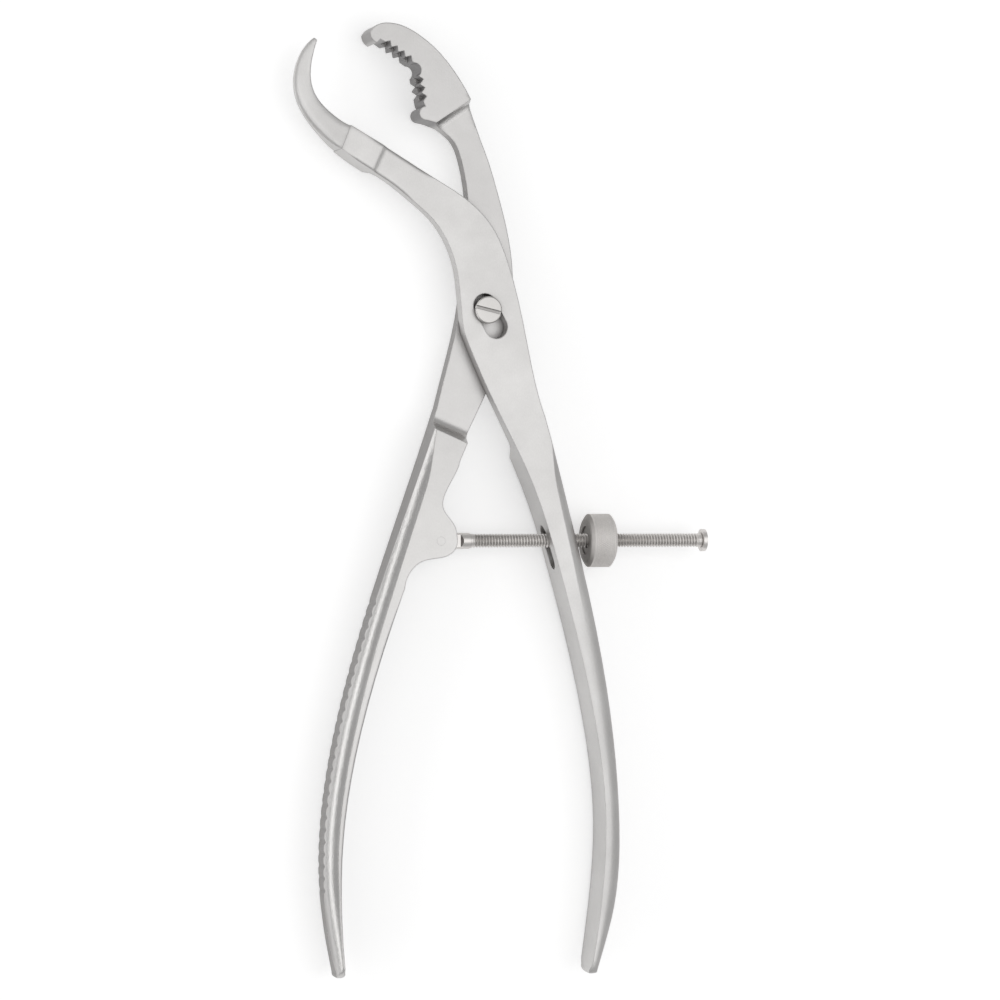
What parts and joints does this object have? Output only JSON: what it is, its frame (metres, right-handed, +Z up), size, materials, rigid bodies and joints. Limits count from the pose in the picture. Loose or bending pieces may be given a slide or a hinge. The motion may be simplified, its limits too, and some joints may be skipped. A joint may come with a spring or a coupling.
{
  "type": "bone holding forceps",
  "caption": "Self-centring bone holding forceps: a slim hook jaw closes on a toothed jaw, and a knurled nut on a threaded spindle between the handles locks it.",
  "frame": {"origin": "middle of the outline seen from above, on the plane of the lowest point, which is the underside of the lock nut", "axes": "+Y from the handles to the jaws, +X from the toothed arm's handle to the side where the lock nut is, +Z up out of the face with the screw head, which carries the hook arm"},
  "size_m": [0.1208, 0.2678, 0.0152],
  "materials": {
    "arm_steel": "satin, fine bead-blasted stainless steel",
    "screw_steel": "fine turned stainless steel",
    "spindle_steel": "matt stainless steel, rolled thread",
    "nut_steel": "matt stainless steel, knurled rim"
  },
  "bodies": {
    "toothed_arm": {"rear_arm": "arm_steel", "pivot_screw": "screw_steel", "spindle_pin": "screw_steel"},
    "joint_collar": {"slide_bush": "screw_steel"},
    "hook_arm": {"front_arm": "arm_steel"},
    "swinging_spindle": {"spindle": "spindle_steel", "end_cap": "spindle_steel"},
    "nut_carrier": {"nut_core": "nut_steel"},
    "nut_ring": {"lock_nut": "nut_steel"}
  },
  "joints": [
    {"name": "jaw_pivot", "type": "hinge", "parent": "toothed_arm", "child": "joint_collar", "pos_m": [-0.00546, 0.05413, 0.0076], "axis": [0, 0, 1], "range_deg": [-11, 15]},
    {"name": "centring_slide", "type": "slide", "parent": "joint_collar", "child": "hook_arm", "axis": [-0.4818, 0.8763, 0], "range_m": [-0.00145, 0.0053]},
    {"name": "spindle_swing", "type": "hinge", "parent": "toothed_arm", "child": "swinging_spindle", "pos_m": [-0.01946, -0.01077, 0.0076], "axis": [0, 0, 1], "range_deg": [-6.75, 9.2]},
    {"name": "nut_travel", "type": "slide", "parent": "swinging_spindle", "child": "nut_carrier", "axis": [1, 0, 0], "range_m": [-0.0125, 0.017]},
    {"name": "nut_spin", "type": "hinge", "parent": "nut_carrier", "child": "nut_ring", "pos_m": [0.02851, -0.01077, 0.0076], "axis": [1, 0, 0], "range_deg": [-5210, 7100]}
  ],
  "couplings": [
    {"joint": "spindle_swing", "follows": "jaw_pivot", "ratio": 0.61},
    {"joint": "nut_travel", "follows": "jaw_pivot", "m_per_rad": 0.0647},
    {"joint": "nut_spin", "follows": "jaw_pivot", "ratio": 473}
  ]
}
